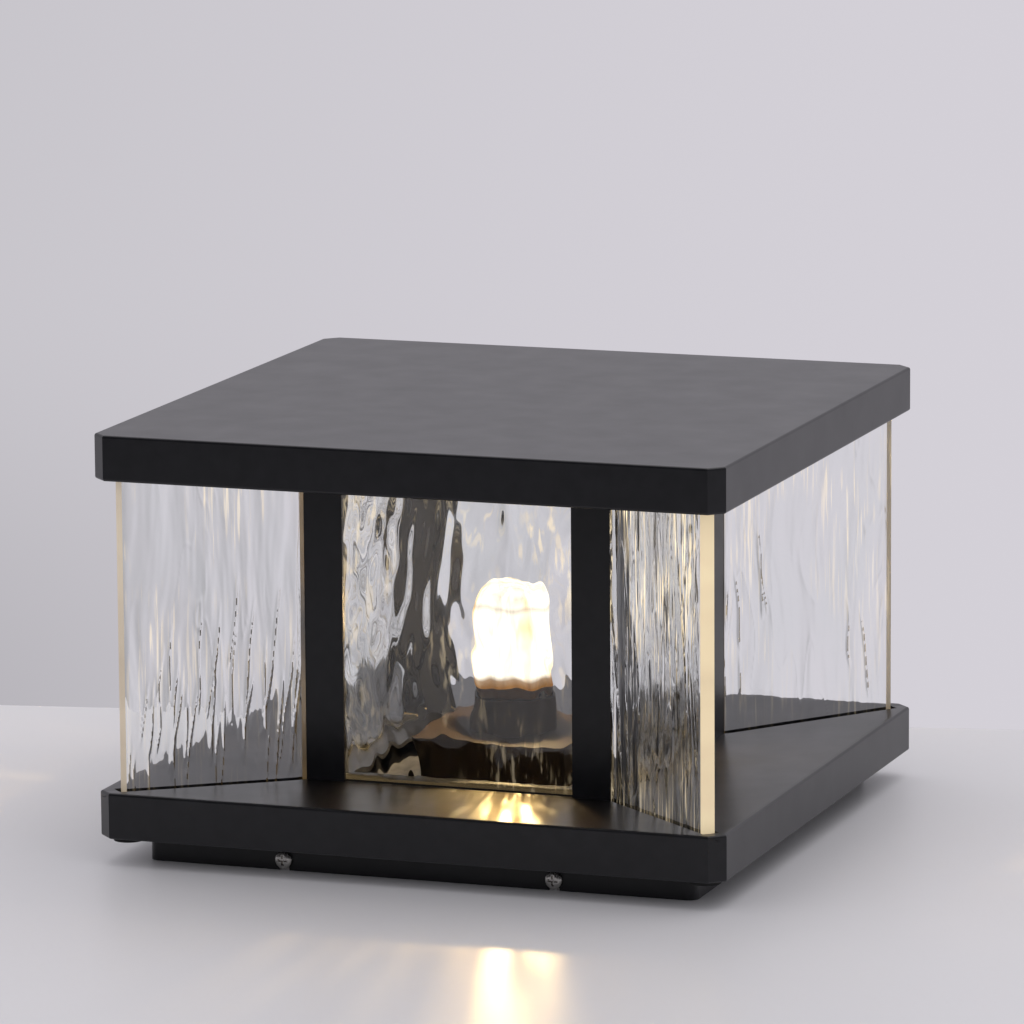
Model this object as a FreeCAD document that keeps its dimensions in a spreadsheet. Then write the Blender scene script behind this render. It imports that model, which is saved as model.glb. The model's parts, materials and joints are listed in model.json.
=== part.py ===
"""Deck post cap light: a square lantern head that drops over a bracket on a pier.

Millimetres, +Z up, front is -Y. The origin is at the centre of the bracket's underside,
on the top of the pier that the light stands on.
"""
import FreeCAD
import Part
import math
import os
import PartDesign
import Sketcher

# Driving sizes. Every one is a cell of the sheet, and every piece is bound to these cells.
SIZES = [
    # skirt, the narrow band under the tray that drops over the bracket
    ("skirt_inset", 18.25, "setback of the skirt from the tray's sides"),
    ("skirt_tall", 12.8, "height of the skirt, and of the tray's lower edge"),
    ("skirt_wall", 1.5, "sheet of the skirt"),
    ("skirt_bend", 5.0, "outer corner radius of the skirt"),
    ("skirt_flange", 13.0, "width of the skirt's flange under the floor plate"),
    ("rivet_inset", 36.75, "distance of a rivet from the skirt's nearer corner"),
    ("rivet_shank", 1.6, "radius of a rivet's shank"),
    ("rivet_head", 3.0, "radius of a rivet's head"),
    ("rivet_cap", 0.9, "thickness of a rivet's head"),
    # tray, the lower of the two black slabs
    ("tray_side", 300.0, "outer side of the tray, and of the roof"),
    ("tray_tall", 21.4, "height of the tray's side"),
    ("tray_wall", 2.0, "wall of the tray's sides"),
    ("tray_skin", 2.2, "thickness of the tray's top"),
    ("tray_rim", 2.5, "level rim round the tray's top"),
    ("tray_fall", 3.5, "fall of the tray's top from its rim to the core"),
    ("tray_ledge", 3.0, "level margin round the foot of the core"),
    ("tray_mouth_inset", 3.0, "distance from the core's inner face to the tray's opening"),
    ("floor_thick", 1.5, "sheet of the floor plate that closes the tray"),
    ("floor_mouth_gap", 8.0, "gap between the gear tray and the floor plate's opening"),
    ("floor_fit", 0.3, "gap between a closing plate and the walls round it"),
    ("floor_screw_inset", 6.75, "distance of the floor plate's screws from the skirt's flange"),
    ("corner_clip", 6.5, "leg of the clipped corners of roof and tray"),
    ("edge_round", 1.2, "rounding of the slabs' top and lower edges"),
    ("bumper_radius", 7.0, "radius of the rubber bumpers under the tray's corners"),
    ("bumper_thick", 2.2, "thickness of a bumper"),
    ("bumper_inset", 11.5, "distance of a bumper's centre from the tray's sides"),
    # roof, the upper slab
    ("open_tall", 144.3, "clear height between the tray's rim and the roof"),
    ("roof_tall", 21.0, "height of the roof"),
    ("roof_wall", 2.0, "wall of the roof"),
    ("ceiling_thick", 2.0, "sheet of the plate that closes the roof"),
    ("roof_screw_inset", 23.0, "distance of the roof's screws from its walls"),
    ("boss_radius", 5.0, "radius of the screw bosses"),
    # core, four posts with a pane between each two
    ("core_side", 158.0, "outer side of the core"),
    ("post_side", 18.0, "side of a post's core"),
    ("post_leaf", 5.5, "reach of a post's face beyond its core, over the pane"),
    ("post_clip", 5.0, "leg of the clipped corner that takes a fin"),
    ("pane_thick", 5.0, "thickness of a pane"),
    ("pane_setback", 2.0, "setback of a pane from the posts' faces"),
    ("pane_play", 0.2, "gap between a pane and its groove"),
    ("groove_deep", 5.0, "depth of a pane groove"),
    ("seal_thick", 0.8, "thickness of the seals under and over a pane"),
    # fins, the four diagonal sheets of cast glass
    ("fin_thick", 7.0, "thickness of a fin"),
    ("fin_inset", 9.5, "distance of a fin's outer edge from the tray's clipped corner"),
    ("fin_gap", 0.2, "gap between a fin and the post that it meets"),
    ("slot_play", 0.5, "gap on each side of a fin in its slot"),
    ("slot_over", 3.2, "length of a slot beyond the fin's outer edge"),
    ("shoe_wall", 1.5, "sheet of the channels that hold a fin"),
    ("shoe_gap", 1.7, "gap between a lower channel and the tray's top"),
    ("hood_tall", 9.0, "height of an upper channel"),
    ("fin_pad", 1.5, "thickness of the rubber strips at a fin's ends"),
    # bracket that is fixed to the pier
    ("plate_thick", 1.5, "sheet of the bracket plate"),
    ("plate_gap", 12.25, "gap between the bracket plate and the skirt"),
    ("tab_wide", 24.0, "width of a screw tab"),
    ("tab_gap", 1.0, "gap between a screw tab and the skirt"),
    ("tab_tall", 10.0, "height of a screw tab"),
    ("side_screw_span", 130.0, "distance between the two side screws of one side"),
    ("side_screw_up", 5.0, "height of the side screws"),
    ("side_screw_slot", 4.8, "width of the skirt's slots for the side screws"),
    ("side_screw_slack", 0.1, "gap between a side screw's head and the skirt"),
    ("side_screw_long", 10.0, "length of a side screw's shank"),
    ("side_head", 4.2, "radius of a side screw's head"),
    ("side_head_tall", 2.6, "height of a side screw's head"),
    ("nut_radius", 3.4, "radius of a clinch nut"),
    ("nut_long", 4.0, "length of a clinch nut"),
    ("fixing_span", 180.0, "distance between the holes that fix the bracket"),
    ("fixing_hole", 3.0, "radius of a fixing hole"),
    # wiring
    ("gear_thick", 1.5, "sheet of the gear tray"),
    ("gear_half", 54.0, "half width of the gear tray"),
    ("gear_deep", 104.0, "length of the gear tray from front to back"),
    ("gear_top", 24.0, "height of the gear tray's top"),
    ("gear_foot", 16.0, "width of a foot of the gear tray"),
    ("gear_screw_span", 70.0, "distance between the two screws of one foot"),
    ("cable_at", 24.0, "distance of the cable hole from the axis"),
    ("cable_hole", 8.0, "radius of the cable hole in the bracket plate"),
    ("grommet_bore", 4.5, "radius of the grommet's bore"),
    ("grommet_lip", 10.5, "radius of the grommet's lips"),
    ("grommet_lip_thick", 1.5, "thickness of the grommet's upper lip"),
    ("block_wide", 20.0, "width of the terminal block"),
    ("block_long", 36.0, "length of the terminal block"),
    ("block_tall", 15.0, "height of the terminal block"),
    ("block_at", 25.0, "distance of the terminal block from the axis"),
    ("port_pitch", 10.0, "distance between the terminal block's ports"),
    ("port_radius", 2.0, "radius of a port"),
    ("port_up", 8.0, "height of the ports over the plate"),
    ("lead_radius", 1.2, "radius of an internal lead"),
    ("lead_bend", 12.0, "bending radius of an internal lead"),
    ("lead_grip", 8.0, "length of a lead's end inside the terminal block"),
    ("clamp_pitch", 10.0, "distance between the two clamp screws of one port"),
    ("clamp_play", 0.1, "gap between a clamp screw and its well"),
    ("clamp_sunk", 1.0, "depth of a clamp screw below the terminal block's top"),
    ("washer_radius", 4.6, "radius of the earth washer"),
    ("washer_thick", 1.0, "thickness of the earth washer"),
    ("earth_x", 24.0, "position of the earth screw to the right of the axis"),
    ("earth_y", 30.0, "position of the earth screw behind the axis"),
    # plinth on the gear tray, a square cover round the foot of the lamp holder
    ("plinth_side", 76.0, "side of the plinth"),
    ("plinth_tall", 20.0, "height of the plinth"),
    ("plinth_wall", 2.5, "wall of the plinth"),
    ("plinth_round", 3.0, "rounding of the plinth's upright corners"),
    ("plinth_gap", 0.2, "gap between the plinth and the lamp holder"),
    ("plinth_screw_inset", 8.0, "distance of the plinth's screws from its sides"),
    # lamp holder
    ("holder_over", 0.8, "height of the holder's rim over the foot of the bulb's collar"),
    ("holder_floor", 10.0, "thickness of the lamp holder's floor"),
    ("holder_wall", 3.3, "wall of the lamp holder"),
    ("shell_gap", 0.2, "gap between the screw shell and the holder"),
    ("shell_thick", 0.8, "sheet of the holder's screw shell"),
    ("shell_lift", 2.0, "height of the screw shell over the holder's floor"),
    ("shell_sunk", 2.0, "depth of the screw shell below the holder's rim"),
    ("thread_room", 1.0, "room for the thread between the bulb's cap and the screw shell"),
    ("shell_mouth", 8.5, "radius of the opening in the screw shell's floor"),
    ("tongue_radius", 4.0, "radius of the centre contact"),
    ("tongue_tall", 2.5, "height of the centre contact"),
    ("holder_screw_span", 18.0, "distance between the holder's two screws"),
    ("holder_screw_radius", 1.45, "radius of a holder screw"),
    ("holder_screw_head", 2.7, "radius of a holder screw's head"),
    ("holder_head_tall", 1.7, "height of a holder screw's head"),
    ("holder_nut_tall", 2.2, "height of a holder nut"),
    ("contact_strap", 4.0, "width of the strap from the live lead to the centre contact"),
    # bulb
    ("bulb_gap", 0.2, "gap between the bulb's tip and the centre contact"),
    ("tip_radius", 4.8, "radius of the bulb's contact tip"),
    ("tip_tall", 1.5, "height of the bulb's contact tip"),
    ("cap_radius", 13.2, "radius of the bulb's screw cap"),
    ("cap_tall", 21.0, "height of the bulb's screw cap"),
    ("collar_tall", 6.0, "height of the bulb's collar"),
    ("bulb_radius", 18.0, "radius of the bulb's glass"),
    ("bulb_tall", 48.0, "height of the bulb's glass"),
    ("bulb_wall", 1.2, "wall of the bulb's glass"),
    ("bulb_round", 9.0, "rounding of the bulb's top"),
    ("stem_radius", 3.5, "radius of the bulb's stem"),
    ("filament_ring", 10.5, "radius of the ring of filaments"),
    ("filament_radius", 1.2, "radius of a filament"),
    ("filament_long", 34.0, "length of a filament"),
    ("disc_radius", 12.5, "radius of the discs that carry the filaments"),
    ("disc_thick", 1.2, "thickness of a filament disc"),
    # the screws that are all alike
    ("screw_radius", 1.95, "radius of a machine screw's shank"),
    ("screw_head", 3.6, "radius of a machine screw's head"),
    ("screw_head_tall", 2.4, "height of a machine screw's head"),
    ("screw_hole", 2.2, "radius of a clearance hole"),
    ("screw_pilot", 2.0, "radius of a tapped hole"),
    ("screw_long", 12.0, "length of a machine screw's shank"),
    ("screw_short", 0.1, "distance from a screw's end to the bracket's underside"),
    ("pilot_spare", 1.0, "depth of a tapped hole beyond its screw"),
    ("recess_wide", 1.0, "width of a cross recess"),
    ("recess_deep", 1.1, "depth of a cross recess"),
]
FILAMENTS = 8
BEYOND = 1.0        # how far a cutting tool runs past the piece that it cuts
SAME = 0.01         # heights and distances closer than this count as equal
RECESS_REACH = 1.1  # length of a cross recess as a share of its head's radius
HALF_ROOT = math.sqrt(0.5)
CORNERS = [(0, "back_right"), (90, "back_left"), (180, "front_left"), (270, "front_right")]
SIDES = [(0, "right"), (90, "back"), (180, "left"), (270, "front")]
UPRIGHT = FreeCAD.Rotation()
Z_AXIS = FreeCAD.Vector(0, 0, 1)

doc = FreeCAD.newDocument("post_cap_light")
sheet = doc.addObject("Spreadsheet::Sheet", "Sizes")
nodes = {}


class Size:
    """A length that knows its present value and the expression that ties it to the sheet."""

    def __init__(self, value, text):
        self.value = value
        self.text = text

    def __add__(self, other):
        other = as_size(other)
        return Size(self.value + other.value, f"({self.text} + {other.text})")

    def __sub__(self, other):
        other = as_size(other)
        return Size(self.value - other.value, f"({self.text} - {other.text})")

    def __mul__(self, factor):
        return Size(self.value * factor, f"({self.text} * {factor:.12f})")

    def __truediv__(self, factor):
        return self * (1.0 / factor)

    def __neg__(self):
        return self * -1.0

    def __radd__(self, other):
        return as_size(other) + self

    def __rmul__(self, factor):
        return self * factor


def as_size(thing):
    return thing if isinstance(thing, Size) else Size(float(thing), f"{float(thing):.12f}")


class Cells:
    """The sheet's cells, one attribute for each."""


def fill_sheet():
    cells = Cells()
    for row, (name, value, meaning) in enumerate(SIZES, start=1):
        sheet.set(f"A{row}", name)
        sheet.set(f"B{row}", str(value))
        sheet.set(f"C{row}", meaning)
        sheet.setAlias(f"B{row}", name)
        setattr(cells, name, Size(float(value), f"Sizes.{name}"))
    doc.recompute()
    return cells


def bind(thing, name, size):
    thing.setExpression(name, as_size(size).text)


class Spot:
    """A local frame: an origin given in sizes, and a rotation."""

    def __init__(self, x=0, y=0, z=0, turn=UPRIGHT):
        self.origin = (as_size(x), as_size(y), as_size(z))
        self.turn = turn
        columns = [FreeCAD.Vector(1, 0, 0), FreeCAD.Vector(0, 1, 0), FreeCAD.Vector(0, 0, 1)]
        self.axes = [turn.multVec(column) for column in columns]

    def point(self, local):
        """The place of a local point in the part's frame."""
        place = []
        for index in range(3):
            total = self.origin[index]
            for step, axis in zip(local, self.axes):
                share = round(axis[index], 12)
                if share != 0:
                    total = total + as_size(step) * share
            place.append(total)
        return place


def put(thing, spot, local):
    """Places a primitive's own origin at a local point of a spot."""
    thing.Placement = FreeCAD.Placement(FreeCAD.Vector(), spot.turn)
    for axis, size in zip("xyz", spot.point(local)):
        bind(thing, f"Placement.Base.{axis}", size)
    return thing


def box(name, low, extent, spot=Spot()):
    thing = doc.addObject("Part::Box", name)
    for side, size in zip(("Length", "Width", "Height"), extent):
        bind(thing, side, size)
    return put(thing, spot, low)


def cylinder(name, foot, radius, height, spot=Spot()):
    thing = doc.addObject("Part::Cylinder", name)
    bind(thing, "Radius", radius)
    bind(thing, "Height", height)
    return put(thing, spot, foot)


def cone(name, foot, low_radius, high_radius, height, spot=Spot()):
    thing = doc.addObject("Part::Cone", name)
    bind(thing, "Radius1", low_radius)
    bind(thing, "Radius2", high_radius)
    bind(thing, "Height", height)
    return put(thing, spot, foot)


def fused(name, pieces):
    thing = doc.addObject("Part::MultiFuse", name)
    thing.Shapes = pieces
    thing.Refine = True
    return thing


def less(name, piece, tools):
    thing = doc.addObject("Part::Cut", name)
    thing.Base = piece
    thing.Tool = tools[0] if len(tools) == 1 else fused(f"{name}_tools", tools)
    return thing


def group(name, pieces):
    thing = doc.addObject("Part::Compound", name)
    thing.Links = pieces
    return thing


def keep(node, thing):
    """Names a finished sub-part, which becomes a node."""
    thing.Label = node
    nodes[node] = thing
    return thing


# Sketches and features of the pieces that are pads, pockets and lofts.

def new_body(name, turn=0):
    body = doc.addObject("PartDesign::Body", name)
    body.Placement = FreeCAD.Placement(FreeCAD.Vector(), FreeCAD.Rotation(Z_AXIS, turn))
    return body


def new_sketch(body, name, level, role="XY_Plane"):
    sketch = body.newObject("Sketcher::SketchObject", name)
    plane = [thing for thing in body.Origin.OriginFeatures if thing.Role == role][0]
    sketch.AttachmentSupport = [(plane, "")]
    sketch.MapMode = "FlatFace"
    bind(sketch, "AttachmentOffset.Base.z", level)
    return sketch


def fix_point(sketch, curve, end, x, y):
    for kind, size in (("DistanceX", as_size(x)), ("DistanceY", as_size(y))):
        rule = sketch.addConstraint(Sketcher.Constraint(kind, -1, 1, curve, end, size.value))
        sketch.setExpression(f"Constraints[{rule}]", size.text)


def draw_polygon(sketch, points):
    points = [(as_size(x), as_size(y)) for x, y in points]
    count = len(points)
    first = sketch.GeometryCount
    corners = [FreeCAD.Vector(x.value, y.value, 0) for x, y in points]
    for index in range(count):
        sketch.addGeometry(Part.LineSegment(corners[index], corners[(index + 1) % count]))
    for index in range(count):
        after = first + (index + 1) % count
        sketch.addConstraint(Sketcher.Constraint("Coincident", first + index, 2, after, 1))
    for index, (x, y) in enumerate(points):
        fix_point(sketch, first + index, 1, x, y)


def draw_circle(sketch, x, y, radius):
    x, y, radius = as_size(x), as_size(y), as_size(radius)
    curve = sketch.addGeometry(
        Part.Circle(FreeCAD.Vector(x.value, y.value, 0), Z_AXIS, radius.value))
    fix_point(sketch, curve, 3, x, y)
    rule = sketch.addConstraint(Sketcher.Constraint("Radius", curve, radius.value))
    sketch.setExpression(f"Constraints[{rule}]", radius.text)


def pad(body, name, sketch, length):
    feature = body.newObject("PartDesign::Pad", name)
    feature.Profile = sketch
    bind(feature, "Length", length)
    body.Tip = feature
    doc.recompute()
    return feature


def pocket_up(body, name, sketch, depth):
    """Cuts from the sketch upwards, and makes sure that something was cut."""
    before = body.Shape.Volume
    feature = body.newObject("PartDesign::Pocket", name)
    feature.Profile = sketch
    feature.Reversed = True
    bind(feature, "Length", depth)
    body.Tip = feature
    doc.recompute()
    if not body.Shape.Volume < before:
        raise RuntimeError(f"{name} cut nothing")
    return feature


def loft(body, name, kind, low_sketch, high_sketch):
    """Adds or cuts a frustum between two sketches."""
    feature = body.newObject(f"PartDesign::{kind}Loft", name)
    feature.Profile = low_sketch
    feature.Sections = [high_sketch]
    feature.Ruled = True
    body.Tip = feature
    doc.recompute()
    return feature


def round_edges(body, name, radius, wanted):
    """Rounds the edges of the body's present shape for which wanted(edge) holds."""
    base = body.Tip
    names = [f"Edge{index}" for index, edge in enumerate(base.Shape.Edges, 1) if wanted(edge)]
    feature = body.newObject("PartDesign::Fillet", name)
    feature.Base = (base, names)
    bind(feature, "Radius", radius)
    body.Tip = feature
    doc.recompute()
    return feature


def square(half):
    return [(-half, -half), (half, -half), (half, half), (-half, half)]


def clipped_square(half, clip):
    """A square with 45 degree corners."""
    short = half - clip
    return [(-short, -half), (short, -half), (half, -short), (half, short),
            (short, half), (-short, half), (-half, short), (-half, -short)]


def diagonal_strip(angle, start, end, half_wide):
    """A rectangle along the diagonal at 45 + angle degrees."""
    turn = math.radians(45 + angle)
    along = (round(math.cos(turn), 12), round(math.sin(turn), 12))
    across = (-along[1], along[0])
    ends = [(start, -half_wide), (end, -half_wide), (end, half_wide), (start, half_wide)]
    return [(u * along[0] + v * across[0], u * along[1] + v * across[1]) for u, v in ends]


def level_with(height):
    """Tests whether an edge lies wholly at one height."""
    return lambda edge: all(abs(v.Point.z - height) < SAME for v in edge.Vertexes)


def stands_up(edge):
    """Tests whether an edge is vertical."""
    low, high = edge.Vertexes[0].Point, edge.Vertexes[-1].Point
    return abs(low.x - high.x) < SAME and abs(low.y - high.y) < SAME


# Screws. A screw's frame has its origin under the head, with the shank along local +Z.

def turned_to(x, y, z):
    return FreeCAD.Rotation(Z_AXIS, FreeCAD.Vector(x, y, z))


def cross_recess(name, spot, head_radius, head_tall):
    reach = head_radius * RECESS_REACH
    bars = []
    for number, (wide, deep) in enumerate(((reach, c.recess_wide), (c.recess_wide, reach))):
        bars.append(box(f"{name}_bar_{number}", (wide * -0.5, deep * -0.5, -head_tall),
                        (wide, deep, c.recess_deep), spot))
    return bars


def screw(name, spot, shank_long, radius, head_radius, head_tall):
    head = cylinder(f"{name}_head", (0, 0, -head_tall), head_radius, head_tall, spot)
    shank = cylinder(f"{name}_shank", (0, 0, 0), radius, shank_long, spot)
    blank = fused(f"{name}_blank", [head, shank])
    return less(name, blank, cross_recess(name, spot, head_radius, head_tall))


def machine_screw(name, spot, shank_long):
    return screw(name, spot, shank_long, c.screw_radius, c.screw_head, c.screw_head_tall)


def four_ways(distance):
    """The points on the X and Y axes at one distance from the origin."""
    return [(distance, 0), (0, distance), (-distance, 0), (0, -distance)]


def four_corners(half):
    return [(half, half), (-half, half), (-half, -half), (half, -half)]


c = fill_sheet()

# Heights of the stack, from the pier upwards.
tray_top = c.skirt_tall + c.tray_tall
core_foot = tray_top - c.tray_fall
roof_foot = tray_top + c.open_tall
roof_top = roof_foot + c.roof_tall
floor_top = c.skirt_tall + c.floor_thick
ceiling_top = roof_foot + c.ceiling_thick
shoe_top = core_foot - c.tray_skin - c.shoe_gap
holder_floor_top = c.gear_top + c.holder_floor
shell_low = holder_floor_top + c.shell_lift
tip_low = holder_floor_top + c.tongue_tall + c.bulb_gap
cap_low = tip_low + c.tip_tall
collar_low = cap_low + c.cap_tall
holder_top = collar_low + c.holder_over

# Half widths and distances from the axis.
tray_half = c.tray_side / 2
tray_inner = tray_half - c.tray_wall
roof_inner = tray_half - c.roof_wall
roof_screw_at = roof_inner - c.roof_screw_inset
skirt_half = tray_half - c.skirt_inset
skirt_inner = skirt_half - c.skirt_wall
skirt_mouth_half = skirt_half - c.skirt_flange
floor_screw_at = skirt_mouth_half - c.floor_screw_inset
floor_mouth_half = c.gear_half + c.floor_mouth_gap
core_half = c.core_side / 2
post_inner = core_half - c.post_side
leaf_end = post_inner - c.post_leaf
tray_mouth_half = post_inner - c.tray_mouth_inset
plinth_screw_at = c.plinth_side / 2 - c.plinth_screw_inset
shell_outer = c.cap_radius + c.thread_room + c.shell_thick
holder_bore = shell_outer + c.shell_gap
holder_radius = holder_bore + c.holder_wall
post_axis = core_half - c.post_side / 2
fin_start = (core_half * 2 - c.post_clip) * HALF_ROOT + c.fin_gap
fin_end = (c.tray_side - c.corner_clip) * HALF_ROOT - c.fin_inset
slot_half = c.fin_thick / 2 + c.slot_play
pane_outer = core_half - c.pane_setback
pane_inner = pane_outer - c.pane_thick


# The head: roof, core, fins, tray and skirt.

def make_roof_shell():
    body = new_body("roof_body")
    outline = new_sketch(body, "roof_outline", roof_foot)
    draw_polygon(outline, clipped_square(tray_half, c.corner_clip))
    pad(body, "roof_slab", outline, c.roof_tall)
    round_edges(body, "roof_edge", c.edge_round, level_with(roof_top.value))
    round_edges(body, "roof_lower_edge", c.edge_round, level_with(roof_foot.value))
    hollow = new_sketch(body, "roof_hollow_outline", roof_foot)
    draw_polygon(hollow, clipped_square(roof_inner, c.corner_clip - c.roof_wall / 2))
    pocket_up(body, "roof_hollow", hollow, c.roof_tall - c.roof_wall)
    bosses = new_sketch(body, "roof_boss_outlines", ceiling_top)
    for x, y in four_ways(roof_screw_at):
        draw_circle(bosses, x, y, c.boss_radius)
    pad(body, "roof_bosses", bosses, roof_top - c.roof_wall / 2 - ceiling_top)
    pilots = new_sketch(body, "roof_pilot_outlines", ceiling_top)
    for x, y in four_ways(roof_screw_at):
        draw_circle(pilots, x, y, c.screw_pilot)
    pocket_up(body, "roof_pilots", pilots, c.screw_long - c.ceiling_thick + c.pilot_spare)
    keep("roof_shell", body)


def make_ceiling_plate():
    body = new_body("ceiling_body")
    outline = new_sketch(body, "ceiling_outline", roof_foot)
    draw_polygon(outline, clipped_square(roof_inner - c.floor_fit, c.corner_clip))
    pad(body, "ceiling_sheet", outline, c.ceiling_thick)
    openings = new_sketch(body, "ceiling_openings_outline", roof_foot)
    for angle, _ in CORNERS:
        draw_polygon(openings, diagonal_strip(
            angle, fin_start - c.slot_play, fin_end + c.slot_play, slot_half))
    for x, y in four_ways(roof_screw_at) + four_corners(post_axis):
        draw_circle(openings, x, y, c.screw_hole)
    pocket_up(body, "ceiling_openings", openings, c.ceiling_thick)
    keep("ceiling_plate", body)


def make_tray():
    body = new_body("tray_body")
    outline = new_sketch(body, "tray_outline", c.skirt_tall)
    draw_polygon(outline, clipped_square(tray_half, c.corner_clip))
    pad(body, "tray_slab", outline, c.tray_tall)
    round_edges(body, "tray_edge", c.edge_round, level_with(tray_top.value))
    round_edges(body, "tray_lower_edge", c.edge_round, level_with(c.skirt_tall.value))
    hollow = new_sketch(body, "tray_hollow_outline", c.skirt_tall)
    draw_polygon(hollow, clipped_square(tray_inner, c.corner_clip - c.tray_wall / 2))
    pocket_up(body, "tray_hollow", hollow, c.tray_tall - c.tray_skin)
    # The top falls in four flat fields from the rim to the foot of the core.
    under_low = new_sketch(body, "under_low_outline", core_foot - c.tray_skin)
    draw_polygon(under_low, square(core_half + c.tray_ledge))
    under_high = new_sketch(body, "under_high_outline", tray_top - c.tray_skin)
    draw_polygon(under_high, square(tray_half - c.tray_rim))
    loft(body, "tray_underside", "Additive", under_low, under_high)
    fall_low = new_sketch(body, "fall_low_outline", core_foot)
    draw_polygon(fall_low, square(core_half + c.tray_ledge))
    fall_high = new_sketch(body, "fall_high_outline", tray_top)
    draw_polygon(fall_high, square(tray_half - c.tray_rim))
    loft(body, "tray_fall", "Subtractive", fall_low, fall_high)
    openings = new_sketch(body, "tray_openings_outline", floor_top)
    draw_polygon(openings, square(tray_mouth_half))
    for angle, _ in CORNERS:
        draw_polygon(openings, diagonal_strip(
            angle, fin_start - c.slot_play, fin_end + c.slot_over, slot_half))
    for x, y in four_corners(post_axis):
        draw_circle(openings, x, y, c.screw_hole)
    pocket_up(body, "tray_openings", openings, tray_top - floor_top + BEYOND)
    bosses = new_sketch(body, "tray_boss_outlines", floor_top)
    for x, y in four_ways(floor_screw_at):
        draw_circle(bosses, x, y, c.boss_radius)
    pad(body, "tray_bosses", bosses, core_foot - floor_top)
    pilots = new_sketch(body, "tray_pilot_outlines", floor_top)
    for x, y in four_ways(floor_screw_at):
        draw_circle(pilots, x, y, c.screw_pilot)
    pocket_up(body, "tray_pilots", pilots, c.screw_long - c.floor_thick + c.pilot_spare)
    keep("base_tray", body)


def make_floor_plate():
    body = new_body("floor_body")
    outline = new_sketch(body, "floor_outline", c.skirt_tall)
    draw_polygon(outline, clipped_square(tray_inner - c.floor_fit, c.corner_clip))
    pad(body, "floor_sheet", outline, c.floor_thick)
    openings = new_sketch(body, "floor_openings_outline", c.skirt_tall)
    draw_polygon(openings, square(floor_mouth_half))
    for x, y in four_ways(floor_screw_at):
        draw_circle(openings, x, y, c.screw_hole)
    for x, y in rivet_places():
        draw_circle(openings, x, y, c.rivet_shank)
    pocket_up(body, "floor_openings", openings, c.floor_thick)
    keep("floor_plate", body)


def rivet_places():
    near = skirt_half - c.rivet_inset
    far = skirt_half - c.skirt_flange / 2
    return ([(x, y) for x in (near, -near) for y in (far, -far)]
            + [(x, y) for x in (far, -far) for y in (near, -near)])


def make_skirt():
    body = new_body("skirt_body")
    outline = new_sketch(body, "skirt_outline", 0)
    draw_polygon(outline, square(skirt_half))
    pad(body, "skirt_block", outline, c.skirt_tall)
    round_edges(body, "skirt_corners", c.skirt_bend, stands_up)
    hollow = new_sketch(body, "skirt_hollow_outline", 0)
    draw_polygon(hollow, clipped_square(skirt_inner, c.skirt_bend / 2))
    pocket_up(body, "skirt_hollow", hollow, c.skirt_tall - c.skirt_wall)
    mouth = new_sketch(body, "skirt_mouth_outline", 0)
    draw_polygon(mouth, square(skirt_mouth_half))
    for x, y in rivet_places():
        draw_circle(mouth, x, y, c.rivet_shank)
    pocket_up(body, "skirt_mouth", mouth, c.skirt_tall)
    # A side screw's slot is open downwards, so that the head lifts off a loosened screw.
    slots = new_sketch(body, "skirt_slot_outlines", 0)
    for x in (c.side_screw_span / 2, c.side_screw_span / -2):
        for y in (skirt_half, -skirt_half):
            draw_polygon(slots, [(x + u, y + v) for u, v in slot_corners()])
    pocket_up(body, "skirt_slots", slots, c.side_screw_up)
    tools = []
    for number, x in enumerate((c.side_screw_span / 2, c.side_screw_span / -2)):
        spot = Spot(x, -skirt_half - BEYOND, c.side_screw_up, turned_to(0, 1, 0))
        tools.append(cylinder(f"slot_round_{number}", (0, 0, 0), c.side_screw_slot / 2,
                              skirt_half * 2 + BEYOND * 2, spot))
    keep("skirt", less("skirt_slotted", body, tools))


def slot_corners():
    half = c.side_screw_slot / 2
    reach = c.skirt_wall * 2
    return [(-half, -reach), (half, -reach), (half, reach), (-half, reach)]


def make_rivets():
    rivets = []
    low = c.skirt_tall - c.skirt_wall
    for number, (x, y) in enumerate(rivet_places()):
        spot = Spot(x, y, low)
        grip = c.skirt_wall + c.floor_thick
        rivets.append(fused(f"rivet_{number}", [
            cylinder(f"rivet_{number}_shank", (0, 0, 0), c.rivet_shank, grip, spot),
            cylinder(f"rivet_{number}_head", (0, 0, -c.rivet_cap), c.rivet_head,
                     c.rivet_cap, spot),
            cylinder(f"rivet_{number}_tail", (0, 0, grip), c.rivet_head, c.rivet_cap, spot)]))
    keep("skirt_rivets", group("rivets", rivets))


def make_bumpers():
    at = tray_half - c.bumper_inset
    pads = [cylinder(f"bumper_{number}", (x, y, c.skirt_tall - c.bumper_thick),
                     c.bumper_radius, c.bumper_thick)
            for number, (x, y) in enumerate(four_corners(at))]
    keep("corner_bumpers", group("bumpers", pads))


def make_posts():
    groove_out = pane_outer + c.pane_play
    groove_in = pane_inner - c.pane_play
    groove_end = post_inner + c.groove_deep
    for angle, name in CORNERS:
        body = new_body(f"post_body_{name}", angle)
        section = new_sketch(body, f"post_section_{name}", core_foot)
        draw_polygon(section, [
            (post_inner, post_inner), (groove_in, post_inner), (groove_in, groove_end),
            (groove_out, groove_end), (groove_out, leaf_end), (core_half, leaf_end),
            (core_half, core_half - c.post_clip), (core_half - c.post_clip, core_half),
            (leaf_end, core_half), (leaf_end, groove_out), (groove_end, groove_out),
            (groove_end, groove_in), (post_inner, groove_in)])
        draw_circle(section, post_axis, post_axis, c.screw_pilot)
        pad(body, f"post_bar_{name}", section, roof_foot - core_foot)
        keep(f"post_{name}", body)


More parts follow.
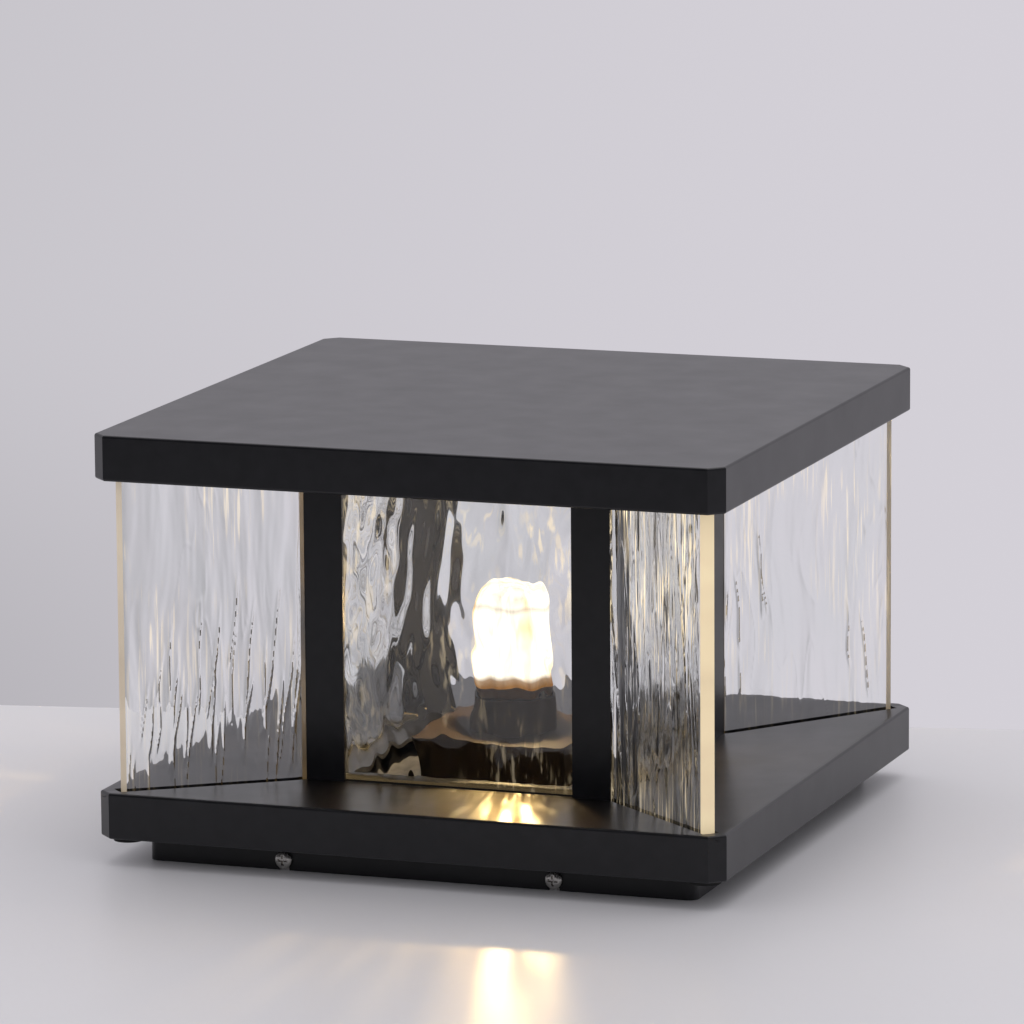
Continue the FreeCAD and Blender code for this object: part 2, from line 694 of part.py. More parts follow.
def make_panes():
    edge = post_inner + c.groove_deep - c.pane_play
    low = core_foot + c.seal_thick
    for angle, name in SIDES:
        body = new_body(f"pane_body_{name}", angle)
        outline = new_sketch(body, f"pane_outline_{name}", low)
        draw_polygon(outline, [(pane_inner, -edge), (pane_outer, -edge),
                               (pane_outer, edge), (pane_inner, edge)])
        pad(body, f"pane_sheet_{name}", outline, roof_foot - c.seal_thick - low)
        keep(f"pane_{name}", body)


def make_pane_seals():
    for node, low in (("pane_seals_lower", core_foot),
                      ("pane_seals_upper", roof_foot - c.seal_thick)):
        strips = []
        for angle, name in SIDES:
            spot = Spot(turn=FreeCAD.Rotation(Z_AXIS, angle))
            strips.append(box(f"{node}_{name}", (pane_inner, -post_inner, low),
                              (c.pane_thick, post_inner * 2, c.seal_thick), spot))
        keep(node, group(f"{node}_group", strips))


def make_fins():
    low = floor_top + c.shoe_wall + c.fin_pad
    high = ceiling_top + c.hood_tall - c.shoe_wall - c.fin_pad
    half = c.fin_thick / 2
    for angle, name in CORNERS:
        body = new_body(f"fin_body_{name}", angle + 45)
        outline = new_sketch(body, f"fin_outline_{name}", low)
        draw_polygon(outline, [(fin_start, -half), (fin_end, -half),
                               (fin_end, half), (fin_start, half)])
        pad(body, f"fin_sheet_{name}", outline, high - low)
        keep(f"fin_{name}", body)


def make_fin_channels():
    """Channels that grip a fin in the tray and in the roof, with rubber at its ends."""
    wide = slot_half * 2 + c.shoe_wall * 2
    length = fin_end - fin_start + c.slot_play + c.shoe_wall
    kinds = [("lower", floor_top, shoe_top - floor_top, floor_top + c.shoe_wall),
             ("upper", ceiling_top, c.hood_tall, ceiling_top)]
    for kind, low, tall, inside in kinds:
        channels, pads = [], []
        clear = tall - c.shoe_wall
        pad_low = inside if kind == "lower" else inside + clear - c.fin_pad
        for angle, name in CORNERS:
            spot = Spot(turn=FreeCAD.Rotation(Z_AXIS, 45 + angle))
            tag = f"{kind}_{name}"
            bar = box(f"channel_bar_{tag}", (fin_start, wide * -0.5, low),
                      (length, wide, tall), spot)
            bed = box(f"channel_bed_{tag}", (fin_start - BEYOND, -slot_half, inside),
                      (fin_end - fin_start + BEYOND + c.slot_play, slot_half * 2, clear), spot)
            channels.append(less(f"channel_{tag}", bar, [bed]))
            pads.append(box(f"fin_strip_{tag}", (fin_start, c.fin_thick * -0.5, pad_low),
                            (fin_end - fin_start, c.fin_thick, c.fin_pad), spot))
        keep(f"fin_channels_{kind}", group(f"channels_{kind}", channels))
        keep(f"fin_strips_{kind}", group(f"strips_{kind}", pads))


def make_head_screws():
    sets = [
        ("roof_screws", four_ways(roof_screw_at), roof_foot, 1),
        ("post_screws_upper", four_corners(post_axis), ceiling_top, -1),
        ("post_screws_lower", four_corners(post_axis), core_foot - c.tray_skin, 1),
        ("floor_screws", four_ways(floor_screw_at), c.skirt_tall, 1),
    ]
    for node, places, height, way in sets:
        screws = [machine_screw(f"{node}_{number}", Spot(x, y, height, turned_to(0, 0, way)),
                                c.screw_long) for number, (x, y) in enumerate(places)]
        keep(node, group(f"{node}_group", screws))


# The bracket: plate, tabs, nuts and side screws.

tab_outer = skirt_inner - c.tab_gap


def tab_places():
    """The middle of each screw tab, and the way that it faces."""
    return [(x, way) for way in (-1, 1) for x in (c.side_screw_span / -2, c.side_screw_span / 2)]


def make_bracket_plate():
    plate_half = skirt_inner - c.plate_gap
    through = c.plate_thick + BEYOND * 2
    pieces = [box("plate_sheet", (-plate_half, -plate_half, 0),
                  (plate_half * 2, plate_half * 2, c.plate_thick))]
    holes = []
    for number, (x, way) in enumerate(tab_places()):
        spot = Spot(x, 0, 0, UPRIGHT if way > 0 else FreeCAD.Rotation(Z_AXIS, 180))
        pieces.append(box(f"tab_tongue_{number}", (c.tab_wide / -2, plate_half - BEYOND, 0),
                          (c.tab_wide, tab_outer - plate_half + BEYOND, c.plate_thick), spot))
        pieces.append(box(f"tab_wall_{number}", (c.tab_wide / -2, tab_outer - c.plate_thick, 0),
                          (c.tab_wide, c.plate_thick, c.tab_tall), spot))
        hole_spot = Spot(x, (tab_outer + BEYOND) * way, c.side_screw_up, turned_to(0, -way, 0))
        holes.append(cylinder(f"tab_hole_{number}", (0, 0, 0), c.screw_hole, through, hole_spot))
    for number, (x, y) in enumerate(four_corners(c.fixing_span / 2)):
        holes.append(cylinder(f"fixing_hole_{number}", (x, y, -BEYOND), c.fixing_hole, through))
    for number, (x, y) in enumerate(gear_screw_places()):
        holes.append(cylinder(f"gear_hole_{number}", (x, y, -BEYOND), c.screw_pilot, through))
    holes.append(cylinder("cable_hole", (c.cable_at, 0, -BEYOND), c.cable_hole, through))
    holes.append(cylinder("earth_hole", (c.earth_x, c.earth_y, -BEYOND), c.screw_pilot, through))
    keep("bracket_plate", less("plate", fused("plate_blank", pieces), holes))


def make_tab_nuts():
    nuts = []
    for number, (x, way) in enumerate(tab_places()):
        spot = Spot(x, (tab_outer - c.plate_thick) * way, c.side_screw_up,
                    turned_to(0, -way, 0))
        nuts.append(less(f"tab_nut_{number}",
                         cylinder(f"nut_blank_{number}", (0, 0, 0), c.nut_radius, c.nut_long,
                                  spot),
                         [cylinder(f"nut_bore_{number}", (0, 0, -BEYOND), c.screw_pilot,
                                   c.nut_long + BEYOND * 2, spot)]))
    keep("tab_nuts", group("nuts", nuts))


def make_side_screws():
    for x, way in tab_places():
        name = f"{'back' if way > 0 else 'front'}_{'left' if x.value < 0 else 'right'}"
        spot = Spot(x, (skirt_half + c.side_screw_slack) * way, c.side_screw_up,
                    turned_to(0, -way, 0))
        made = screw(f"side_screw_made_{name}", spot, c.side_screw_long, c.screw_radius,
                     c.side_head, c.side_head_tall)
        keep(f"side_screw_{name}", made)


# The wiring on the bracket.

def gear_screw_places():
    x = c.gear_half + c.gear_foot / 2
    y = c.gear_screw_span / 2
    return [(sx, sy) for sx in (x, -x) for sy in (y, -y)]


def make_gear_tray():
    low = c.plate_thick
    foot_top = low + c.gear_thick
    outer = c.gear_half
    inner = outer - c.gear_thick
    inner_top = c.gear_top - c.gear_thick
    toe = outer + c.gear_foot
    body = new_body("gear_body")
    section = new_sketch(body, "gear_section", c.gear_deep / -2, "XZ_Plane")
    draw_polygon(section, [
        (-toe, low), (-inner, low), (-inner, inner_top), (inner, inner_top), (inner, low),
        (toe, low), (toe, foot_top),
        (outer, foot_top), (outer, c.gear_top), (-outer, c.gear_top), (-outer, foot_top),
        (-toe, foot_top)])
    pad(body, "gear_sheet", section, c.gear_deep)
    holes = new_sketch(body, "gear_hole_outlines", 0)
    for x, y in gear_screw_places():
        draw_circle(holes, x, y, c.screw_hole)
    for x in (c.holder_screw_span / 2, c.holder_screw_span / -2):
        draw_circle(holes, x, 0, c.holder_screw_radius)
    for y in (c.port_pitch, -c.port_pitch):
        draw_circle(holes, 0, y, c.port_radius)
    for x, y in four_corners(plinth_screw_at):
        draw_circle(holes, x, y, c.screw_hole)
    pocket_up(body, "gear_holes", holes, c.gear_top + BEYOND)
    keep("gear_tray", body)


def make_plinth():
    """A moulded cover, open below, with a boss in each corner for a screw from beneath."""
    half = c.plinth_side / 2
    body = new_body("plinth_body")
    outline = new_sketch(body, "plinth_outline", c.gear_top)
    draw_polygon(outline, square(half))
    pad(body, "plinth_block", outline, c.plinth_tall)
    round_edges(body, "plinth_corners", c.plinth_round, stands_up)
    hollow = new_sketch(body, "plinth_hollow_outline", c.gear_top)
    draw_polygon(hollow, square(half - c.plinth_wall))
    pocket_up(body, "plinth_hollow", hollow, c.plinth_tall - c.plinth_wall)
    bosses = new_sketch(body, "plinth_boss_outlines", c.gear_top)
    pilots = new_sketch(body, "plinth_pilot_outlines", c.gear_top)
    for x, y in four_corners(plinth_screw_at):
        draw_circle(bosses, x, y, c.boss_radius)
        draw_circle(pilots, x, y, c.screw_pilot)
    pad(body, "plinth_bosses", bosses, c.plinth_tall - c.plinth_wall / 2)
    pocket_up(body, "plinth_pilots", pilots, c.screw_long - c.gear_thick + c.pilot_spare)
    mouth = new_sketch(body, "plinth_mouth_outline", c.gear_top)
    draw_circle(mouth, 0, 0, holder_radius + c.plinth_gap)
    pocket_up(body, "plinth_mouth", mouth, c.plinth_tall)
    keep("holder_plinth", body)
    under = c.gear_top - c.gear_thick
    screws = [machine_screw(f"plinth_screw_{number}", Spot(x, y, under, turned_to(0, 0, 1)),
                            c.screw_long)
              for number, (x, y) in enumerate(four_corners(plinth_screw_at))]
    keep("plinth_screws", group("plinth_screw_group", screws))


def make_gear_screws():
    height = c.plate_thick + c.gear_thick
    screws = [machine_screw(f"gear_screw_{number}", Spot(x, y, height, turned_to(0, 0, -1)),
                            height - c.screw_short)
              for number, (x, y) in enumerate(gear_screw_places())]
    keep("gear_screws", group("gear_screw_group", screws))


def make_grommet():
    """A rubber bush in the cable hole, flush with the bracket's underside."""
    at = Spot(c.cable_at, 0, 0)
    body = fused("grommet_blank", [
        cylinder("grommet_neck", (0, 0, 0), c.cable_hole, c.plate_thick, at),
        cone("grommet_lip", (0, 0, c.plate_thick), c.grommet_lip,
             c.grommet_lip - c.grommet_lip_thick, c.grommet_lip_thick, at)])
    bore = cylinder("grommet_bore", (0, 0, -BEYOND), c.grommet_bore,
                    c.plate_thick + c.grommet_lip_thick + BEYOND * 2, at)
    keep("cable_grommet", less("grommet", body, [bore]))


def make_terminal_block():
    low = c.plate_thick
    left = -c.block_at - c.block_wide / 2
    port_level = low + c.port_up
    clamp_level = port_level + c.lead_radius
    block = box("block_blank", (left, c.block_long / -2, low),
                (c.block_wide, c.block_long, c.block_tall))
    holes, screws = [], []
    for number in (-1, 0, 1):
        y = c.port_pitch * number
        spot = Spot(left - BEYOND, y, port_level, turned_to(1, 0, 0))
        holes.append(cylinder(f"port_{number + 1}", (0, 0, 0), c.port_radius,
                              c.block_wide + BEYOND * 2, spot))
        for side in (-1, 1):
            x = c.clamp_pitch / 2 * side - c.block_at
            tag = f"{number + 1}_{side + 1}"
            holes.append(cylinder(f"clamp_well_{tag}", (x, y, port_level), c.port_radius,
                                  c.block_tall))
            screws.append(cylinder(f"clamp_screw_{tag}", (x, y, clamp_level),
                                   c.port_radius - c.clamp_play,
                                   low + c.block_tall - c.clamp_sunk - clamp_level))
    keep("terminal_block", less("block", block, holes))
    keep("terminal_screws", group("clamp_screws", screws))


def make_leads():
    """Leads from the terminal block, in one bend, up to the holder's contact and shell."""
    block_face = -c.block_at + c.block_wide / 2
    height = c.plate_thick + c.port_up
    bend_start = -c.lead_bend
    entry = block_face - c.lead_grip
    for node, side, top in (("lead_live", 1, holder_floor_top), ("lead_neutral", -1, shell_low)):
        y = c.port_pitch * side
        run = cylinder(f"{node}_run", (0, 0, 0), c.lead_radius, bend_start - entry,
                       Spot(entry, y, height, turned_to(1, 0, 0)))
        bend = doc.addObject("Part::Torus", f"{node}_bend")
        bind(bend, "Radius1", c.lead_bend)
        bind(bend, "Radius2", c.lead_radius)
        bend.Angle3 = 90
        frame = FreeCAD.Rotation(FreeCAD.Vector(0, 0, -1), FreeCAD.Vector(1, 0, 0),
                                 FreeCAD.Vector(0, -1, 0), "ZXY")
        put(bend, Spot(bend_start, y, height + c.lead_bend, frame), (0, 0, 0))
        rise = cylinder(f"{node}_rise", (0, y, height + c.lead_bend), c.lead_radius,
                        top - height - c.lead_bend)
        keep(node, fused(f"{node}_tube", [run, bend, rise]))


def make_earth_screw():
    washer_top = c.plate_thick + c.washer_thick
    spot = Spot(c.earth_x, c.earth_y, washer_top, turned_to(0, 0, -1))
    keep("earth_screw", machine_screw("earth_screw_made", spot, washer_top - c.screw_short))
    ring = cylinder("washer_blank", (c.earth_x, c.earth_y, c.plate_thick),
                    c.washer_radius, c.washer_thick)
    hole = cylinder("washer_bore", (c.earth_x, c.earth_y, 0), c.screw_pilot,
                    washer_top + BEYOND)
    keep("earth_washer", less("washer", ring, [hole]))


def make_holder():
    """The lamp holder, with its screw shell and centre contact."""
    low = c.gear_top
    shell_tall = holder_top - c.shell_sunk - shell_low
    tall = holder_top - low
    screw_places = (c.holder_screw_span / 2, c.holder_screw_span / -2)
    blank = cylinder("holder_blank", (0, 0, low), holder_radius, tall)
    tools = [cylinder("holder_bore", (0, 0, holder_floor_top), holder_bore, tall)]
    for number, x in enumerate(screw_places):
        tools.append(cylinder(f"holder_hole_{number}", (x, 0, low - BEYOND),
                              c.holder_screw_radius, tall))
    for number, y in enumerate((c.port_pitch, -c.port_pitch)):
        tools.append(cylinder(f"holder_lead_hole_{number}", (0, y, low - BEYOND),
                              c.port_radius, tall))
    keep("lamp_holder", less("holder", blank, tools))

    keep("holder_screw_shell", less(
        "shell", cylinder("shell_blank", (0, 0, shell_low), shell_outer, shell_tall),
        [cylinder("shell_bore", (0, 0, shell_low + c.shell_thick),
                  shell_outer - c.shell_thick, shell_tall),
         cylinder("shell_mouth", (0, 0, shell_low - BEYOND), c.shell_mouth, shell_tall)]))
    keep("holder_contact", fused("contact", [
        cylinder("contact_button", (0, 0, holder_floor_top), c.tongue_radius, c.tongue_tall),
        box("contact_strap", (c.contact_strap / -2, 0, holder_floor_top),
            (c.contact_strap, c.port_pitch + c.contact_strap / 2, c.shell_thick))]))
    screws, nuts = [], []
    nut_low = c.gear_top - c.gear_thick - c.holder_nut_tall
    for number, x in enumerate(screw_places):
        spot = Spot(x, 0, holder_floor_top, turned_to(0, 0, -1))
        screws.append(screw(f"holder_screw_{number}", spot, holder_floor_top - nut_low,
                            c.holder_screw_radius, c.holder_screw_head, c.holder_head_tall))
        nuts.append(less(f"holder_nut_{number}",
                         cylinder(f"holder_nut_blank_{number}", (x, 0, nut_low),
                                  c.holder_screw_head, c.holder_nut_tall),
                         [cylinder(f"holder_nut_bore_{number}", (x, 0, nut_low - BEYOND),
                                   c.holder_screw_radius, c.holder_nut_tall + BEYOND * 2)]))
    keep("holder_screws", group("holder_screw_group", screws))
    keep("holder_nuts", group("holder_nut_group", nuts))


def make_bulb():
    """A screw bulb: tip, cap, collar, glass, stem, and a cage of filaments."""
    glass_low = collar_low + c.collar_tall
    keep("bulb_tip", cylinder("tip", (0, 0, tip_low), c.tip_radius, c.tip_tall))
    keep("bulb_cap", cylinder("cap", (0, 0, cap_low), c.cap_radius, c.cap_tall))
    keep("bulb_collar", cone("collar", (0, 0, collar_low), c.cap_radius, c.bulb_radius,
                             c.collar_tall))

    body = new_body("glass_body")
    outline = new_sketch(body, "glass_outline", glass_low)
    draw_circle(outline, 0, 0, c.bulb_radius)
    pad(body, "glass_blank", outline, c.bulb_tall)
    round_edges(body, "glass_top", c.bulb_round, level_with((glass_low + c.bulb_tall).value))
    inside = new_body("glass_inside_body")
    hollow = new_sketch(inside, "glass_hollow_outline", glass_low)
    draw_circle(hollow, 0, 0, c.bulb_radius - c.bulb_wall)
    pad(inside, "glass_hollow", hollow, c.bulb_tall - c.bulb_wall)
    round_edges(inside, "glass_hollow_top", c.bulb_round - c.bulb_wall,
                level_with((glass_low + c.bulb_tall - c.bulb_wall).value))
    keep("bulb_glass", less("glass", body, [inside]))

    disc_low = glass_low + c.disc_thick
    disc_high = disc_low + c.disc_thick + c.filament_long
    stem = [cylinder("stem_rod", (0, 0, glass_low), c.stem_radius,
                     disc_high + c.disc_thick - glass_low)]
    for name, height in (("low", disc_low), ("high", disc_high)):
        stem.append(cylinder(f"stem_disc_{name}", (0, 0, height), c.disc_radius, c.disc_thick))
    keep("bulb_stem", fused("stem", stem))
    sticks = []
    for number in range(FILAMENTS):
        spot = Spot(turn=FreeCAD.Rotation(Z_AXIS, number * 360 / FILAMENTS))
        sticks.append(cylinder(f"filament_{number}",
                               (c.filament_ring, 0, disc_low + c.disc_thick),
                               c.filament_radius, c.filament_long, spot))
    keep("bulb_filaments", group("filaments", sticks))


def check_and_write():
    doc.recompute()
    for thing in doc.Objects:
        if {"Invalid", "Error"} & set(thing.State):
            raise RuntimeError(f"{thing.Name} failed: {thing.State}")
    for node, thing in nodes.items():
        shape = thing.Shape
        if shape.isNull() or not shape.isValid() or not shape.Solids:
            raise RuntimeError(f"{node} has no valid shape")
    os.makedirs("parts", exist_ok=True)
    for node, thing in nodes.items():
        thing.Shape.exportStep(f"parts/{node}.step")
        print(f"{node}: {len(thing.Shape.Solids)} solid(s), {thing.Shape.Volume:.0f} mm3")
    print(f"{len(nodes)} nodes")


make_roof_shell()
make_ceiling_plate()
make_tray()
make_floor_plate()
make_skirt()
make_rivets()
make_bumpers()
make_posts()
make_panes()
make_pane_seals()
make_fins()
make_fin_channels()
make_head_screws()
make_bracket_plate()
make_tab_nuts()
make_side_screws()
make_gear_tray()
make_plinth()
make_gear_screws()
make_grommet()
make_terminal_block()
make_leads()
make_earth_screw()
make_holder()
make_bulb()
check_and_write()
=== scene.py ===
"""Looks of the post cap light: rippled glass, powder coat, a lit bulb, and a plain pale studio."""

import json
import math

import bpy
import numpy as np
from mathutils import Matrix, Vector


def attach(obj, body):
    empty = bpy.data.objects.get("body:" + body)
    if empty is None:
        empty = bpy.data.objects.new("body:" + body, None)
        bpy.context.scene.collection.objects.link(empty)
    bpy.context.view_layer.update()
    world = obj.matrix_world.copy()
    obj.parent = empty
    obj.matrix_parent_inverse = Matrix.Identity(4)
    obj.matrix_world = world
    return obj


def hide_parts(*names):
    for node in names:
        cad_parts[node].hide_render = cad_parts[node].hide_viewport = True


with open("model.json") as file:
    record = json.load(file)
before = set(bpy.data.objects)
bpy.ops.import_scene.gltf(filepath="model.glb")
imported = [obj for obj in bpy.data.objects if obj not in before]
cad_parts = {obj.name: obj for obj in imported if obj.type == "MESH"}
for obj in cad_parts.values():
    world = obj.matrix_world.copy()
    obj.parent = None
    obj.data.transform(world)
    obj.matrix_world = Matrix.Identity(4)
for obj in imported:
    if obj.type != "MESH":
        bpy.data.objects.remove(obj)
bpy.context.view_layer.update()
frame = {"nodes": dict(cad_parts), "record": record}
nodes = frame["nodes"]
scene = bpy.context.scene

MM = 0.001
FIN_CORNERS = [(45, "back_right"), (135, "back_left"), (225, "front_left"), (315, "front_right")]
PANE_SIDES = [(0, "right"), (90, "back"), (180, "left"), (270, "front")]


# Node materials.

class Mat:
    """A node material, with short ways to add and join its nodes."""

    def __init__(self, name):
        self.made = bpy.data.materials.new(name)
        self.made.use_nodes = True
        self.tree = self.made.node_tree
        self.tree.nodes.clear()
        self.out = self.add("ShaderNodeOutputMaterial")

    def add(self, kind, **settings):
        node = self.tree.nodes.new(kind)
        for name, value in settings.items():
            setattr(node, name, value)
        return node

    def join(self, source, target):
        self.tree.links.new(source, target)

    def place(self, scale=(1, 1, 1)):
        """Object coordinates in metres, stretched by scale."""
        coords = self.add("ShaderNodeTexCoord")
        mapping = self.add("ShaderNodeMapping")
        mapping.inputs["Scale"].default_value = scale
        self.join(coords.outputs["Object"], mapping.inputs["Vector"])
        return mapping.outputs["Vector"]

    def noise(self, scale, detail=3.0, rough=0.5, stretch=(1, 1, 1), distortion=0.0):
        node = self.add("ShaderNodeTexNoise")
        node.inputs["Scale"].default_value = scale
        node.inputs["Detail"].default_value = detail
        node.inputs["Roughness"].default_value = rough
        node.inputs["Distortion"].default_value = distortion
        self.join(self.place(stretch), node.inputs["Vector"])
        return node.outputs["Fac"]

    def ramp(self, source, stops):
        """Colours by the source's value. stops lists (value, colour) pairs."""
        node = self.add("ShaderNodeValToRGB")
        points = node.color_ramp.elements
        while len(points) < len(stops):
            points.new(0.5)
        for point, (where, colour) in zip(points, stops):
            point.position = where
            point.color = (*colour, 1)
        self.join(source, node.inputs["Fac"])
        return node.outputs["Color"]

    def remap(self, source, low, high, first, last):
        """The source's run from low to high, turned into one from first to last."""
        node = self.add("ShaderNodeMapRange")
        for socket, value in (("From Min", low), ("From Max", high), ("To Min", first),
                              ("To Max", last)):
            node.inputs[socket].default_value = value
        self.join(source, node.inputs["Value"])
        return node.outputs["Result"]

    def spread(self, source, low, high):
        """A noise's values, which lie between nought and one, spread from low to high."""
        return self.remap(source, 0.0, 1.0, low, high)

    def bump(self, source, depth):
        node = self.add("ShaderNodeBump")
        node.inputs["Distance"].default_value = depth
        node.inputs["Strength"].default_value = 1.0
        self.join(source, node.inputs["Height"])
        return node.outputs["Normal"]

    def surface(self, colour, normal=None, roughness=None, **values):
        """A Principled surface. values are its other sockets, with _ for each space."""
        shader = self.add("ShaderNodeBsdfPrincipled")
        for name, value in values.items():
            shader.inputs[name.replace("_", " ")].default_value = value
        self.join(colour, shader.inputs["Base Color"])
        if roughness is not None:
            self.join(roughness, shader.inputs["Roughness"])
        if normal is not None:
            self.join(normal, shader.inputs["Normal"])
        self.join(shader.outputs["BSDF"], self.out.inputs["Surface"])
        return shader

    def blend(self, share, first, second):
        """The first shader, and the second where share is one."""
        node = self.add("ShaderNodeMixShader")
        self.join(share, node.inputs[0])
        self.join(first, node.inputs[1])
        self.join(second, node.inputs[2])
        self.join(node.outputs[0], self.out.inputs["Surface"])
        return node.outputs[0]


def tones(colour, low=0.8, high=1.2):
    """Ramp stops for a colour that varies a little."""
    return [(0.3, tuple(v * low for v in colour)), (0.7, tuple(v * high for v in colour))]


def coated(name, colour, rough_low, rough_high, grain, depth, specular=0.5):
    """Powder coat or moulded skin: fine orange peel over slow changes of gloss."""
    mat = Mat(name)
    peel = mat.noise(grain, detail=4.0, rough=0.6)
    colours = mat.ramp(mat.noise(140, detail=5.0), tones(colour))
    gloss = mat.spread(mat.noise(45, detail=3.0), rough_low, rough_high)
    mat.surface(colours, mat.bump(peel, depth), gloss, Specular_IOR_Level=specular)
    return mat.made


def metal(name, colour, rough_low, rough_high, stretch):
    """Metal with fine drawn lines. stretch packs the lines closer along its larger axis."""
    mat = Mat(name)
    lines = mat.noise(900, detail=4.0, rough=0.65, stretch=stretch)
    colours = mat.ramp(mat.noise(260, detail=4.0), tones(colour, 0.88, 1.08))
    gloss = mat.spread(lines, rough_low, rough_high)
    mat.surface(colours, mat.bump(lines, 0.00001), gloss, Metallic=1.0)
    return mat.made


def painted_glints(mat, seen, scale, stretch, least, most, low, high, strength):
    """The seen shader with painted glints: warm emission lines that stand in for lamp light
    that the glass catches in its grooves.

    least and most are the painted lines' shares away from and toward the front right, so the
    glints are painted brighter on that side. They gain between the heights low and high.
    """
    lines = mat.noise(scale, detail=2.0, rough=0.5, stretch=(1, 1, stretch), distortion=0.3)
    places = mat.noise(26, detail=2.0, stretch=(1, 1, 0.7))
    split = mat.add("ShaderNodeSeparateXYZ")
    mat.join(mat.place(), split.inputs[0])
    ahead = mat.add("ShaderNodeMath", operation="SUBTRACT")
    mat.join(split.outputs["X"], ahead.inputs[0])
    mat.join(split.outputs["Y"], ahead.inputs[1])
    share = mat.ramp(lines, [(0.585, (0, 0, 0)), (0.67, (1, 1, 1))])
    for factor in (mat.ramp(places, [(0.45, (0, 0, 0)), (0.60, (1, 1, 1))]),
                   mat.remap(ahead.outputs[0], 0.04, 0.16, least, most),
                   mat.remap(split.outputs["Z"], low, high, 0.25, 1.0)):
        product = mat.add("ShaderNodeMath", operation="MULTIPLY")
        mat.join(share, product.inputs[0])
        mat.join(factor, product.inputs[1])
        share = product.outputs[0]
    # Painted glints: a warm emission that stands in for lamp light caught by the glass.
    warm = mat.add("ShaderNodeEmission")
    mat.join(mat.ramp(places, [(0.5, (1.0, 0.78, 0.46)), (0.8, (1.0, 0.90, 0.72))]),
             warm.inputs["Color"])
    warm.inputs["Strength"].default_value = strength
    return mat.blend(share, seen, warm.outputs["Emission"])


def clear_glass(name, tint, streak_scale, streak_stretch, dark, grain_depth, **glint_settings):
    """Clear glass. Light that passes it to another surface is streaked, as by its waves."""
    mat = Mat(name)
    seeds = mat.noise(500, detail=2.0)
    colours = mat.ramp(mat.noise(60, detail=2.0, stretch=(1, 1, 0.3)),
                       [(0.3, tint), (0.7, (1, 1, 1))])
    shader = mat.surface(colours, mat.bump(seeds, grain_depth), Roughness=0.0, IOR=1.5,
                         Transmission_Weight=1.0)
    streaks = mat.noise(streak_scale, detail=3.0, rough=0.6, stretch=streak_stretch,
                        distortion=0.6)
    clear = mat.add("ShaderNodeBsdfTransparent")
    mat.join(mat.ramp(streaks, [(0.40, dark), (0.52, (0.45, 0.42, 0.36)), (0.60, (1, 1, 1))]),
             clear.inputs["Color"])
    # Painted glints of lamp light laid over the glass.
    seen = painted_glints(mat, shader.outputs["BSDF"], **glint_settings)
    path = mat.add("ShaderNodeLightPath")
    mat.blend(path.outputs["Is Shadow Ray"], seen, clear.outputs["BSDF"])
    return mat.made


UNLIT_SHARE = (0.20, 0.14, 0.08)


def glowing(name, core, rim, strength, grain, stretch=(1, 1, 1), heights=((0, 1), (1, 1))):
    """A lit surface: bright, with warmer patches, and dimmer by height where asked.

    heights lists (height in metres, share of the light) pairs up the piece.
    """
    mat = Mat(name)
    patches = mat.noise(90, detail=2.0, stretch=(1, 1, 0.4))
    colours = mat.ramp(patches, [(0.50, core), (0.72, rim)])
    split = mat.add("ShaderNodeSeparateXYZ")
    mat.join(mat.place(), split.inputs[0])
    low, high = heights[0][0], heights[-1][0]
    dim = tuple(v * w for v, w in zip(rim, UNLIT_SHARE))
    bands = mat.ramp(mat.remap(split.outputs["Z"], low, high, 0.0, 1.0), [
        ((height - low) / (high - low),
         tuple(share + (1 - share) * v for v in dim)) for height, share in heights])
    tinted = mat.add("ShaderNodeMix", data_type="RGBA", blend_type="MULTIPLY")
    tinted.inputs["Factor"].default_value = 1.0
    mat.join(colours, tinted.inputs[6])
    mat.join(bands, tinted.inputs[7])
    waves = mat.noise(grain, detail=3.0, stretch=stretch)
    glow = mat.add("ShaderNodeEmission")
    mat.join(tinted.outputs[2], glow.inputs["Color"])
    mat.join(mat.spread(waves, strength * 0.4, strength * 1.6), glow.inputs["Strength"])
    path = mat.add("ShaderNodeLightPath")
    quiet = mat.add("ShaderNodeEmission")
    quiet.inputs["Strength"].default_value = 0.0
    mat.blend(path.outputs["Is Diffuse Ray"], glow.outputs["Emission"], quiet.outputs["Emission"])
    return mat.made


def lit_edge(name, colour, dim, strength):
    """The ground edge of a fin, with a painted glow where the lamp's light comes out of the glass.
    """
    mat = Mat(name)
    grind = mat.noise(1100, detail=3.0, stretch=(1, 1, 0.2))
    slow = mat.noise(14, detail=3.0, rough=0.6, stretch=(0.2, 0.2, 1))
    shades = mat.ramp(slow, [(0.35, dim), (0.62, colour)])
    shader = mat.surface(shades, mat.bump(grind, 0.00004), Roughness=0.45, IOR=1.5)
    mat.join(shades, shader.inputs["Emission Color"])
    shader.inputs["Emission Strength"].default_value = strength
    return mat.made


BLACK = (0.0085, 0.0085, 0.0105)
